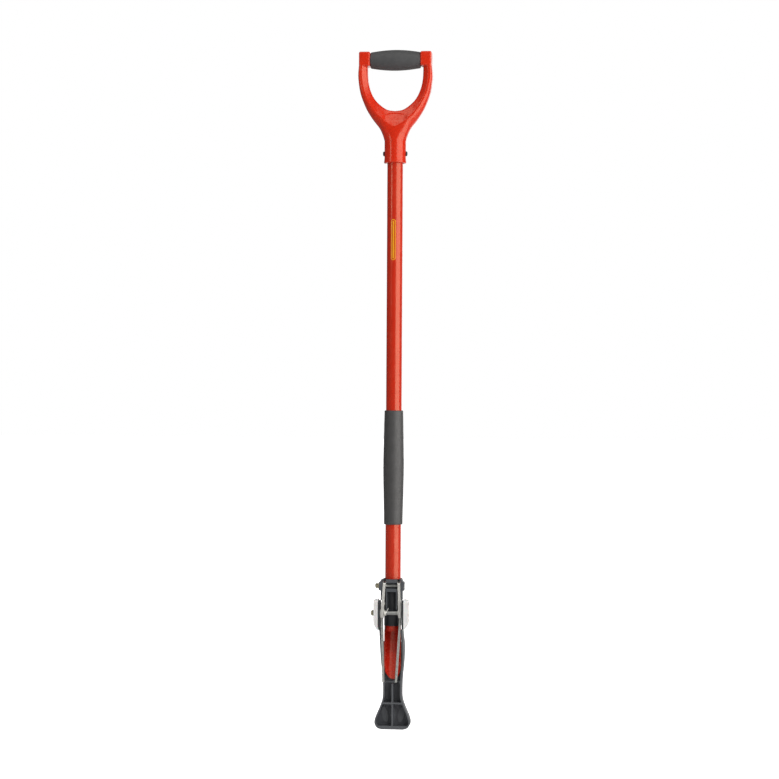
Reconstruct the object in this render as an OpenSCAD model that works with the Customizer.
// Stand-up weed puller: a long tubular shaft with a D-handle and a foam mid-grip, a gouge blade
// and a pair of prongs at the foot end, and a foot lever that folds along the gouge.
// The shaft's axis is Z, the tool's front faces -Y, and z = 0 is the foot lever's end face.

/* [Shaft] */
// Outer diameter of the shaft tube
shaft_d = 25; // [24.6:0.1:25.4]
// Wall of the shaft tube
shaft_wall = 1.5; // [1.2:0.1:1.8]
// Height of the shaft tube's lower end
shaft_low_z = 166; // [165.5:0.1:166.4]

/* [D-handle] */
// Height of the handle socket's rim
socket_z = 905; // [800:1:1000]
// Outer diameter of the handle socket
socket_d = 36; // [34:0.5:37]
// Length of the sleeve on the hand bar
hand_sleeve_l = 80; // [70:1:80]
// Diameter of the hand sleeve at its ends
hand_sleeve_end_d = 26; // [24:0.5:26]
// Diameter of the hand sleeve in the middle
hand_sleeve_mid_d = 33; // [28:0.5:33]

/* [Mid grip] */
// Height of the foam grip's lower end
mid_grip_z = 328; // [280:1:500]
// Length of the foam grip
mid_grip_l = 182; // [120:1:200]
// Diameter of the foam grip at its ends
mid_grip_end_d = 30; // [28:0.5:32]
// Diameter of the foam grip in the middle
mid_grip_mid_d = 33.5; // [32:0.5:36]

/* [Gouge] */
// Outer diameter of the gouge blade
gouge_d = 27.2; // [26.8:0.1:27.4]
// Thickness of the gouge blade
gouge_wall = 2; // [1.6:0.1:2.4]
// Height of the gouge's tip
gouge_tip_z = 78.8; // [78.8:0.1:84]

/* [Prongs] */
// Thickness of a prong
prong_t = 3; // [2.4:0.1:3]
// Depth of a prong, front to back
prong_depth = 8.5; // [7:0.5:9]
// Height of the prongs' tips
prong_tip_z = 81.5; // [79:0.5:90]

/* [Foot lever] */
// Widest half width of the foot
foot_half_w = 28.6; // [27:0.1:30]
// Thickness of the lever's side walls
lever_wall = 2.6; // [2.4:0.1:2.8]
// Height of the top of the upper cross rib
upper_rib_z = 76.4; // [72:0.1:76.4]
// Height of the middle of the lower cross rib
lower_rib_z = 41.6; // [36:0.1:46]

/* [Pivots] */
// Diameter of the claw's pivot bolt
claw_pin_d = 5; // [4.8:0.1:5]
// Diameter of the lever's axle
axle_d = 6; // [5.6:0.1:6]
// Running clearance on a pivot's radius
run_gap = 0.06; // [0.03:0.01:0.09]

/* [Hidden] */
$fn = 96;
eps = 0.01;
shaft_r = shaft_d / 2;
bore_r = shaft_r - shaft_wall;
gouge_r = gouge_d / 2;

// Pivot places in the YZ plane: the claw turns on the upper one and carries the lower one
claw_y = -16.5;
claw_z = 231;
axle_y = -24;
axle_z = 188.3;
claw_pin_r = claw_pin_d / 2;
axle_r = axle_d / 2;

// D-handle levels, counted from the socket's rim
socket_r = socket_d / 2;
socket_bore_l = 58;
shaft_high_z = socket_z + socket_bore_l;
rivet_z = socket_z + 15.5;
rivet_head_r = 3.8;
rivet_seat_x = 17.2;
bar_z = socket_z + 165;
bar_r = 9;
bar_end_r = 13;
bar_end_x = 58.2;
fit_gap = 0.03;

// Head levels and widths
liner_r = 13.8;
liner_low_z = 166.7;
collar_r = 15.3;
head_low_z = 192;
head_top_z = 241.6;
head_front_y = -24;
block_half_w = 8.8;
block_low_z = 193.5;
block_top_z = 227;
crossbar_low_z = 236.5;
window_half_w = 7.2;
window_top_z = 222;
cheek_wall_x = 17.2;
cheek_wall_low_z = 209;
cheek_wall_back_y = -9;
ear_x = 20;
ear_low_z = 224;
ear_top_z = 238;
ear_back_y = -9.5;
ear_recess_r = 4.9;
ear_recess_floor_x = 16.6;
neck_pin_z = 178;
neck_pin_r = 2.5;
head_rivet_z = 218;
head_rivet_r = 2.4;
head_rivet_seat_y = 14.6;

// Straps: a folded channel that clamps the prong's root, splayed in the front view
strap_w = 4.2;
strap_sheet = 0.5;
strap_depth = 12.2;
strap_front = 7.2;
strap_low = 8;
strap_high = 7.5;
strap_top_x = 11.8;
strap_axle_x = 14;
prong_tip_x = 10;
prong_root_low_z = 178;
clamp_rivet_z = 203;
clamp_rivet_r = 1.5;

// Foot lever
lever_front_y = -2;
lever_back_y = 15;
lever_web_y = 14.5;
lever_web_t = 3;
lever_web_top_z = 137.5;
foot_floor_y = 12;
foot_rim_z = 5.4;
rib_t = 2.6;
fork_half_d = 11.5;
fork_high = 20.2;
fork_low = 20;
fork_in_x = 17.5;
fork_out_x = 20.5;
neck_x = 18.3;
bush_r = 4.5;
bush_flange_r = 6;
bush_flange_t = 0.6;
cheek_half_d = 12;
cheek_high = 22.4;
cheek_low = 27;
cheek_round = 6;
cheek_out_x = 27.4;
cheek_step_x = 22.6;
screw_r = 1.4;
screw_head_r = 2.9;
screw_head_h = 1.6;
screw_spots = [[0, 15], [0, -12]];

red = "#d63a22";
charcoal = "#4b4d50";
black = "#2b2d31";
zinc = "#b9b08a";
steel = "#b4b6b3";
white = "#e2e2e0";

// A smooth line through the points given, with steps straight pieces between two of them
function between(a, b, c, d, t) =
    0.5 * (2 * b + (c - a) * t + (2 * a - 5 * b + 4 * c - d) * t * t
        + (3 * b - a - 3 * c + d) * t * t * t);
function smooth_line(p, steps = 5) =
    let (last = len(p) - 1)
    [for (i = [0 : last - 1]) for (s = [0 : steps - 1])
        between(p[max(i - 1, 0)], p[i], p[i + 1], p[min(i + 2, last)], s / steps), p[last]];
// The same line on the other side of the Z axis, in reverse order
function other_side(p) = [for (i = [len(p) - 1 : -1 : 0]) [-p[i][0], p[i][1]]];
// The same points in reverse order
function other_end(p) = [for (i = [len(p) - 1 : -1 : 0]) p[i]];
// A rectangle with round corners
function rounded_rect(low, high, r) =
    [for (corner = [[high[0] - r, high[1] - r, 0], [low[0] + r, high[1] - r, 90],
            [low[0] + r, low[1] + r, 180], [high[0] - r, low[1] + r, 270]])
        for (t = [0 : 15 : 90])
            [corner[0] + r * cos(corner[2] + t), corner[1] + r * sin(corner[2] + t)]];
function oval(a, b, lean, centre) =
    [for (t = [0 : 15 : 345])
        [centre[0] + a * cos(t) * cos(lean) - b * sin(t) * sin(lean),
         centre[1] + a * cos(t) * sin(lean) + b * sin(t) * cos(lean)]];

// An outline in the XZ plane, extruded from y0 to y1
module along_y(y0, y1) {
    translate([0, y1, 0]) rotate([90, 0, 0]) linear_extrude(height = y1 - y0) children();
}

// An outline in the YZ plane, extruded from x0 to x1
module along_x(x0, x1) {
    translate([x0, 0, 0]) rotate([90, 0, 90]) linear_extrude(height = x1 - x0) children();
}

// A round bar along X from x0 to x1, with its axis at (y, z)
module x_bar(x0, x1, y, z, r) {
    translate([x0, y, z]) rotate([0, 90, 0]) cylinder(h = x1 - x0, r = r);
}

module tube(z0, z1, outer_r, inner_r) {
    difference() {
        translate([0, 0, z0]) cylinder(h = z1 - z0, r = outer_r);
        translate([0, 0, z0 - 1]) cylinder(h = z1 - z0 + 2, r = inner_r);
    }
}

// A block from one corner to the other
module block(low, high) {
    translate(low) cube(high - low);
}

module mirrored_x() {
    children();
    mirror([1, 0, 0]) children();
}

// ---- Shaft and handle ----

module shaft_tube() {
    color(red) difference() {
        tube(shaft_low_z, shaft_high_z, shaft_r, bore_r);
        x_bar(-20, 20, 0, rivet_z, 3);
        x_bar(-20, 20, 0, neck_pin_z, neck_pin_r);
        translate([0, 20, head_rivet_z]) rotate([90, 0, 0]) cylinder(h = 20, r = head_rivet_r);
    }
}

// Heights in these outlines are counted from the socket's rim
handle_outer = concat([[socket_r, 0]], smooth_line([[socket_r, 30], [19.2, 41], [25.2, 55],
    [35.6, 69.4], [45, 84], [51.8, 99], [56.6, 114], [59.1, 131], [59.7, 143],
    [bar_end_x, 156]]), [[bar_end_x, 178]]);
handle_opening = smooth_line([[0, 83.3], [13, 85.6], [25.6, 94.4], [34.4, 104.6],
    [40.8, 119], [44, 135], [44.8, 152]]);
handle_side = concat([[socket_r, 0]], smooth_line([[socket_r, 28], [16.8, 44], [15, 64],
    [13.8, 78], [11.4, 99], [10.6, 122], [12, 143], [bar_end_r, 157]]), [[bar_end_r, 178]]);

module handle_body() {
    color(red) difference() {
        union() {
            translate([0, 0, socket_z]) intersection() {
                along_y(-socket_r, socket_r)
                    polygon(concat(handle_outer, other_side(handle_outer)));
                along_x(-65, 65) polygon(concat(handle_side, other_side(handle_side)));
                union() {
                    cylinder(h = 60, r = socket_r);
                    translate([-65, -socket_r, 36]) cube([130, socket_d, 117]);
                    translate([-65, 0, 165]) rotate([0, 90, 0]) cylinder(h = 130, r = bar_end_r);
                }
            }
            x_bar(-50, 50, 0, bar_z, bar_r);
        }
        // The hand opening, up to the bar's underside
        translate([0, 0, socket_z]) along_y(-30, 30)
            polygon(concat(handle_opening, [[44.8, 152.2], [-44.8, 152.2]],
                other_side(handle_opening)));
        // Room for the sleeve between the bar's two end blocks
        difference() {
            x_bar(-hand_sleeve_l / 2, hand_sleeve_l / 2, 0, bar_z, 24);
            x_bar(-60, 60, 0, bar_z, bar_r);
        }
        translate([0, 0, socket_z - 1])
            cylinder(h = socket_bore_l + 1 + fit_gap, r = shaft_r + fit_gap);
        x_bar(-25, 25, 0, rivet_z, 3);
        mirrored_x() x_bar(rivet_seat_x, 25, 0, rivet_z, rivet_head_r + 0.1);
    }
}

module hand_sleeve() {
    half = hand_sleeve_l / 2;
    end_r = hand_sleeve_end_d / 2;
    mid_r = hand_sleeve_mid_d / 2;
    profile = concat([[end_r - 0.8, -half]], smooth_line([[end_r, -half + 1.2],
        [mid_r - 1, -half / 2], [mid_r, 0], [mid_r - 1, half / 2], [end_r, half - 1.2]]),
        [[end_r - 0.8, half]]);
    color(charcoal) translate([0, 0, bar_z]) rotate([0, 90, 0]) rotate_extrude()
        polygon(concat([[bar_r + fit_gap, -half]], profile, [[bar_r + fit_gap, half]]));
}

// A rivet along X with a domed head at each end
module handle_rivet() {
    head_h = 2.4;
    color(black) union() {
        x_bar(-rivet_seat_x, rivet_seat_x, 0, rivet_z, 3 - fit_gap);
        mirrored_x() translate([rivet_seat_x, 0, rivet_z]) rotate([0, 90, 0])
            rotate_extrude() polygon([[0, 0], [rivet_head_r, 0], [rivet_head_r, 1.2],
                [rivet_head_r - 0.8, head_h - 0.3], [rivet_head_r - 2, head_h], [0, head_h]]);
    }
}

module mid_grip() {
    end_r = mid_grip_end_d / 2;
    mid_r = mid_grip_mid_d / 2;
    profile = concat([[end_r - 1.2, 0]], smooth_line([[end_r, 1.8], [end_r + 0.2, 14],
        [mid_r - 0.3, mid_grip_l * 0.38], [mid_r, mid_grip_l * 0.52],
        [mid_r - 0.3, mid_grip_l * 0.66], [end_r + 0.2, mid_grip_l - 14],
        [end_r, mid_grip_l - 1.8]]), [[end_r - 1.2, mid_grip_l]]);
    color(charcoal) translate([0, 0, mid_grip_z]) rotate_extrude()
        polygon(concat([[shaft_r + fit_gap, 0]], profile, [[shaft_r + fit_gap, mid_grip_l]]));
}

// ---- Head ----

// Grooves that the straps swing in, one each side of the middle block
module strap_grooves() {
    mirrored_x() along_y(-40, -8.6)
        polygon([[block_half_w, head_top_z + 1], [14, head_top_z + 1], [14, 238.5],
            [16.8, 190], [block_half_w, 190]]);
}

module head_body() {
    middle_y = -shaft_r;
    color(black) difference() {
        union() {
            translate([0, 0, head_low_z]) cylinder(h = head_top_z - head_low_z, r = collar_r);
            block([-block_half_w, head_front_y, block_low_z], [block_half_w, middle_y, head_top_z]);
            mirrored_x() {
                block([block_half_w, head_front_y, cheek_wall_low_z],
                    [cheek_wall_x, cheek_wall_back_y, head_top_z]);
                block([cheek_wall_x - 1, head_front_y, ear_low_z], [ear_x, ear_back_y, ear_top_z]);
            }
        }
        translate([0, 0, head_low_z - 1]) cylinder(h = 60, r = liner_r + fit_gap);
        strap_grooves();
        // Slot at the front where the pivot bolt shows
        block([-block_half_w - eps, -40, block_top_z], [block_half_w + eps, -14, crossbar_low_z]);
        // Window in the middle block, open below and to the liner
        block([-window_half_w, -40, block_low_z - 1], [window_half_w, middle_y, window_top_z]);
        x_bar(-30, 30, claw_y, claw_z, claw_pin_r + fit_gap);
        x_bar(ear_recess_floor_x, 30, claw_y, claw_z, ear_recess_r);
        translate([0, 20, head_rivet_z]) rotate([90, 0, 0]) {
            cylinder(h = 20, r = head_rivet_r);
            cylinder(h = 20 - head_rivet_seat_y, r = 4.3);
        }
        // Sloped shoulders above the ears
        mirrored_x() along_y(-40, 0)
            polygon([[cheek_wall_x + 4, ear_top_z - 3], [cheek_wall_x - 1, head_top_z + eps],
                [cheek_wall_x + 4, head_top_z + eps]]);
    }
}

// Plastic sleeve between the shaft and the head, whose lower part shows as the neck
module head_liner() {
    color(black) difference() {
        tube(liner_low_z, head_top_z - 1, liner_r, shaft_r + fit_gap);
        x_bar(-20, 20, 0, neck_pin_z, neck_pin_r);
        translate([0, 20, head_rivet_z]) rotate([90, 0, 0]) cylinder(h = 20, r = head_rivet_r);
    }
}

module head_rivet() {
    color(zinc) translate([0, head_rivet_seat_y, head_rivet_z]) rotate([90, 0, 0]) union() {
        cylinder(h = head_rivet_seat_y - bore_r + 2, r = head_rivet_r - fit_gap);
        rotate_extrude() polygon([[0, -2.4], [2.2, -2.2], [3.8, -1.2], [4.2, 0], [0, 0]]);
    }
}

// Spring pin through the neck, the shaft and the gouge's spigot
module neck_pin() {
    color(zinc) difference() {
        x_bar(-liner_r + 0.3, liner_r - 0.3, 0, neck_pin_z, neck_pin_r - fit_gap);
        x_bar(-20, 20, 0, neck_pin_z, 1.2);
    }
}

// Half-round blade under a full ring, with a spigot that enters the shaft
module gouge_blade() {
    ring_z = 158.7;
    ring_r = 13.4;
    spigot_top_z = 190;
    tip_rise = 26.5;
    full_z = gouge_tip_z + tip_rise;
    tip = [for (t = [180 : 6 : 360]) [(gouge_r + eps) * cos(t), full_z + tip_rise * sin(t)]];
    color(red) difference() {
        union() {
            tube(ring_z, shaft_low_z, ring_r, bore_r - 2);
            tube(ring_z, spigot_top_z, bore_r - fit_gap, bore_r - 2);
            intersection() {
                tube(gouge_tip_z - 1, ring_z + 0.5, gouge_r, gouge_r - gouge_wall);
                along_y(-20, 20) polygon(concat(tip, [[gouge_r + eps, ring_z + 1],
                    [-gouge_r - eps, ring_z + 1]]));
                along_x(-20, 20) polygon([[20, gouge_tip_z - 2], [20, ring_z + 1],
                    [-14, ring_z + 1], [-14, ring_z - 0.4], [-3, ring_z - 1.4],
                    [-1, ring_z - 2.6], [0, ring_z - 5], [0.6, gouge_tip_z + 30],
                    [4, gouge_tip_z - 2]]);
            }
        }
        x_bar(-20, 20, 0, neck_pin_z, neck_pin_r);
    }
}

// ---- Claw pivot ----

module claw_bolt() {
    head_h = 2.9;
    color(zinc) difference() {
        union() {
            x_bar(-26.6, ear_recess_floor_x + 0.5, claw_y, claw_z, claw_pin_r);
            x_bar(ear_recess_floor_x, ear_recess_floor_x + head_h, claw_y, claw_z, 4.5);
        }
        translate([ear_recess_floor_x + 1.2, claw_y, claw_z]) rotate([0, 90, 0])
            cylinder(h = 3, r = 1.7, $fn = 6);
    }
}

module claw_nut() {
    color(zinc) difference() {
        translate([-25.9, claw_y, claw_z]) rotate([0, 90, 0]) cylinder(h = 4.7, r = 3.9, $fn = 6);
        x_bar(-30, -10, claw_y, claw_z, claw_pin_r + fit_gap);
    }
}

module claw_washer() {
    color(zinc) difference() {
        x_bar(-21.2, -ear_x, claw_y, claw_z, 5.2);
        x_bar(-30, -10, claw_y, claw_z, claw_pin_r + fit_gap);
    }
}

// ---- Claw ----

strap_lean = atan2(claw_y - axle_y, claw_z - axle_z);
strap_splay = atan2(strap_axle_x - strap_top_x, claw_z - axle_z);
strap_span = norm([claw_y - axle_y, claw_z - axle_z]);

// Puts a strap's own frame in place: its pivot at the origin, its length down its own -Z
module in_strap_frame(side) {
    translate([side * strap_top_x, claw_y, claw_z]) rotate([-strap_lean, 0, 0])
        rotate([0, -side * strap_splay, 0]) children();
}

module strap(side) {
    length = strap_span + strap_low;
    half_w = strap_w / 2;
    channel_half_w = half_w - strap_sheet;
    color(steel) difference() {
        in_strap_frame(side) difference() {
            union() {
                block([-half_w, -strap_front, -length], [half_w, strap_depth - strap_front, 0]);
                intersection() {
                    block([-half_w, -strap_front, -1],
                        [half_w, strap_depth - strap_front, strap_high]);
                    x_bar(-half_w, half_w, 0, 0, strap_high);
                }
            }
            block([-channel_half_w, -strap_front + strap_sheet, -length - 1],
                [channel_half_w, strap_depth, strap_high + 1]);
        }
        x_bar(-40, 40, claw_y, claw_z, claw_pin_r + run_gap);
        x_bar(-40, 40, axle_y, axle_z, axle_r + fit_gap);
        clamp_hole();
    }
}

// The hole of the rivet that clamps a prong's root, on the line between the pivots
module clamp_hole() {
    y = axle_y + (clamp_rivet_z - axle_z) * tan(strap_lean);
    x_bar(-40, 40, y, clamp_rivet_z, clamp_rivet_r);
}

module strap_left() {
    strap(-1);
}

module strap_right() {
    strap(1);
}

// A flat steel bar: its root lies in the strap, and it leans inwards below the axle
module prong(side) {
    root_top = clamp_rivet_z + 6;
    half_t = prong_t / 2;
    root_x = strap_axle_x - (clamp_rivet_z + 6 - axle_z) * tan(strap_splay);
    bend_x = strap_axle_x + (axle_z - prong_root_low_z) * tan(strap_splay);
    tip_z = prong_tip_z;
    outline = [[root_x - half_t, root_top], [bend_x - half_t, prong_root_low_z],
        [prong_tip_x - half_t, tip_z], [prong_tip_x + half_t, tip_z],
        [bend_x + half_t, prong_root_low_z], [root_x + half_t, root_top]];
    lean = tan(strap_lean);
    half_d = prong_depth / 2;
    y_at = function (z) axle_y + (z - axle_z) * lean;
    side_line = [[y_at(root_top) - half_d, root_top], [y_at(root_top) + half_d, root_top],
        [y_at(tip_z + 14) + half_d, tip_z + 14], [y_at(tip_z) + 1.2, tip_z],
        [y_at(tip_z) - half_d, tip_z]];
    color(steel) difference() {
        intersection() {
            along_y(-60, 20) scale([side, 1]) polygon(outline);
            along_x(-30, 30) polygon(side_line);
        }
        x_bar(-40, 40, axle_y, axle_z, axle_r + fit_gap);
        clamp_hole();
    }
}

module prong_left() {
    prong(-1);
}

module prong_right() {
    prong(1);
}

module clamp_rivets() {
    y = axle_y + (clamp_rivet_z - axle_z) * tan(strap_lean);
    x = strap_axle_x - (clamp_rivet_z - axle_z) * tan(strap_splay);
    color(steel) mirrored_x() {
        x_bar(x - 2.7, x + 2.7, y, clamp_rivet_z, clamp_rivet_r - fit_gap);
        x_bar(x + 2.35, x + 2.9, y, clamp_rivet_z, 2.4);
        x_bar(x - 2.9, x - 2.35, y, clamp_rivet_z, 2.4);
    }
}

module axle_bolt() {
    color(zinc) union() {
        x_bar(-32.9, cheek_out_x + 0.5, axle_y, axle_z, axle_r);
        translate([cheek_out_x + 0.1, axle_y, axle_z]) rotate([0, 90, 0]) rotate_extrude()
            polygon([[0, 0], [4.6, 0], [4.6, 0.6], [3.8, 1.4], [2.2, 1.8], [0, 1.8]]);
    }
}

module axle_nut() {
    color(zinc) difference() {
        translate([-31.5, axle_y, axle_z]) rotate([0, 90, 0]) cylinder(h = 3.8, r = 4.5, $fn = 6);
        x_bar(-40, -10, axle_y, axle_z, axle_r + fit_gap);
    }
}

// Push-on rings that keep the straps apart on the axle
module axle_clips() {
    x = strap_axle_x - strap_w / 2 - 0.5;
    color(steel) mirrored_x() difference() {
        x_bar(x - 0.7, x, axle_y, axle_z, 5);
        x_bar(x - 2, x + 1, axle_y, axle_z, axle_r + fit_gap);
    }
}

// Torsion spring: a coil round the axle by the left strap, one leg up into the head's window
// and one that rests on the strap
module return_spring() {
    wire_r = 0.5;
    pitch = 0.98;
    coil_r = axle_r + 0.25 + wire_r;
    coil_x = -9.9;
    turns = 3;
    color(steel) union() {
        for (i = [0 : turns - 1])
            translate([coil_x + i * pitch, axle_y, axle_z]) rotate([0, 90, 0])
                rotate_extrude() translate([coil_r, 0]) circle(r = wire_r, $fn = 24);
        translate([coil_x + (turns - 1) * pitch, axle_y - coil_r, axle_z]) rotate([-10, 30, 0])
            cylinder(h = 9, r = wire_r, $fn = 24);
        translate([coil_x, axle_y - coil_r, axle_z]) rotate([9, -6.5, 0])
            cylinder(h = 8, r = wire_r, $fn = 24);
    }
}

// ---- Foot lever ----

// Half width of the lever's outline, from the foot up to the neck
lever_half = smooth_line([[17, 0], [24.6, 2.6], [foot_half_w, 10.5], [foot_half_w - 2.2, 21],
    [20, 36], [15.7, 49], [14.9, 62], [15.4, 82], [17.8, 108], [18.5, 128], [18.4, 148],
    [neck_x, 161]]);
fork_outline = [[fork_out_x, 166], [fork_out_x, axle_z + fork_high + 1]];
lever_outer = concat(lever_half, fork_outline);
lever_inner = concat([for (p = lever_half) [p[0] - lever_wall, p[1]]],
    [[fork_in_x, 165], [fork_in_x, axle_z + fork_high + 2]]);

// The lever seen from the side: y against z
lever_side = concat([[lever_front_y, 0], [lever_back_y, 0]],
    smooth_line([[lever_back_y, 44], [lever_web_y + lever_web_t, 78],
        [lever_web_y + lever_web_t, 108], [lever_web_y + lever_web_t, lever_web_top_z - 8],
        [lever_web_y + 1.2, lever_web_top_z], [8, 145.5], [-1, 154], [-6, 164],
        [axle_y + fork_half_d, axle_z - 14]]),
    smooth_line([[axle_y - fork_half_d, axle_z - 14], [-31.5, 163], [-20, 144], [-8.5, 118],
        [-3, 92], [lever_front_y, 62]]));

module foot_pocket(z0, z1, floor_y) {
    intersection() {
        along_y(-80, floor_y) polygon(concat(lever_inner, other_side(lever_inner)));
        block([-60, -80, z0], [60, 40, z1]);
    }
}

module foot_lever() {
    pad_h = 1.2;
    pad_a = 5.3;
    pad_b = 12.5;
    pad_z = 22.2;
    color(charcoal) difference() {
        union() {
            difference() {
                intersection() {
                    along_y(-80, 40) polygon(concat(lever_outer, other_side(lever_outer)));
                    union() {
                        along_x(-40, 40) polygon(lever_side);
                        along_x(-40, 40) polygon(rounded_rect(
                            [axle_y - fork_half_d, axle_z - fork_low],
                            [axle_y + fork_half_d, axle_z + fork_high], 5));
                    }
                }
                foot_pocket(foot_rim_z, upper_rib_z - rib_t, foot_floor_y);
                foot_pocket(upper_rib_z, axle_z + 40, lever_web_y);
            }
            // Cross rib, centre rib and the front of the upper rib's recess
            block([-16.5, lever_front_y, lower_rib_z - rib_t / 2],
                [16.5, foot_floor_y + 1, lower_rib_z + rib_t / 2]);
            block([-rib_t / 2, lever_front_y + 0.6, foot_rim_z - 1],
                [rib_t / 2, foot_floor_y + 1, upper_rib_z - 1]);
            along_y(foot_floor_y - pad_h, foot_floor_y + 1) union() {
                polygon(oval(pad_a, pad_b, 11, [-13, pad_z]));
                polygon(oval(pad_a, pad_b, -11, [13, pad_z]));
                polygon(oval(pad_a - 0.6, pad_b - 1, 0, [0, pad_z + 0.6]));
            }
        }
        // The upper rib stands back from the rims, clear of the gouge's tip as the lever swings
        block([-11.6, -30, upper_rib_z - rib_t - 1], [11.6, 8, upper_rib_z + 1]);
        x_bar(-40, 40, axle_y, axle_z, bush_r + fit_gap);
        for (spot = screw_spots)
            x_bar(-40, 40, axle_y + spot[0], axle_z + spot[1], screw_r + fit_gap);
    }
}

module lever_bush(side) {
    color(white) scale([side, 1, 1]) difference() {
        union() {
            x_bar(fork_in_x - eps, fork_out_x, axle_y, axle_z, bush_r);
            x_bar(fork_in_x - bush_flange_t, fork_in_x, axle_y, axle_z, bush_flange_r);
        }
        x_bar(0, 40, axle_y, axle_z, axle_r + run_gap);
    }
}

module lever_bush_left() {
    mirror([1, 0, 0]) lever_bush(1);
}

module lever_bush_right() {
    lever_bush(1);
}

// An upright plate about the axle from x0 to x1, set in from the cheek's full outline
module cheek_plate(x0, x1, inset) {
    along_x(x0, x1) polygon(rounded_rect(
        [axle_y - cheek_half_d + inset, axle_z - cheek_low],
        [axle_y + cheek_half_d - inset, axle_z + cheek_high - inset], cheek_round - inset));
}

// Side cover of the fork: a flange, a thicker cap with a stepped rim, and a lower end that
// bends in towards the lever's neck
module cheek() {
    top_z = axle_z + cheek_high + 1;
    bend = smooth_line([[cheek_out_x, axle_z - 11], [26.8, 172], [24.6, 166.6], [21.4, 162.9],
        [neck_x + 0.1, 161]]);
    color(white) difference() {
        intersection() {
            union() {
                cheek_plate(neck_x - 1, cheek_step_x, 0);
                cheek_plate(cheek_step_x - 1, cheek_out_x - 0.8, 0.6);
                cheek_plate(cheek_out_x - 1, cheek_out_x, 1.3);
            }
            along_y(-80, 20) polygon(concat([[cheek_out_x, top_z], [fork_out_x, top_z],
                [fork_out_x, 165.9]], other_end(bend)));
        }
        x_bar(0, 60, axle_y, axle_z, axle_r + run_gap);
        for (spot = screw_spots) {
            x_bar(0, 60, axle_y + spot[0], axle_z + spot[1], screw_r + fit_gap);
            x_bar(cheek_out_x - screw_head_h, 60, axle_y + spot[0], axle_z + spot[1],
                screw_head_r + 0.1);
        }
    }
}

module cheek_left() {
    mirror([1, 0, 0]) cheek();
}

module cheek_right() {
    cheek();
}

module cheek_screws() {
    head_x = cheek_out_x - screw_head_h;
    color(zinc) mirrored_x() for (spot = screw_spots)
        translate([0, axle_y + spot[0], axle_z + spot[1]]) difference() {
            union() {
                x_bar(fork_in_x + 0.3, head_x + 0.5, 0, 0, screw_r);
                x_bar(head_x, cheek_out_x - 0.1, 0, 0, screw_head_r);
            }
            translate([head_x + 0.6, 0, 0]) rotate([0, 90, 0]) cylinder(h = 3, r = 1.4, $fn = 6);
        }
}

shaft_tube();
handle_body();
hand_sleeve();
handle_rivet();
mid_grip();
head_body();
head_liner();
head_rivet();
neck_pin();
gouge_blade();
claw_bolt();
claw_nut();
claw_washer();
strap_left();
strap_right();
prong_left();
prong_right();
clamp_rivets();
axle_bolt();
axle_nut();
axle_clips();
return_spring();
foot_lever();
lever_bush_left();
lever_bush_right();
cheek_left();
cheek_right();
cheek_screws();
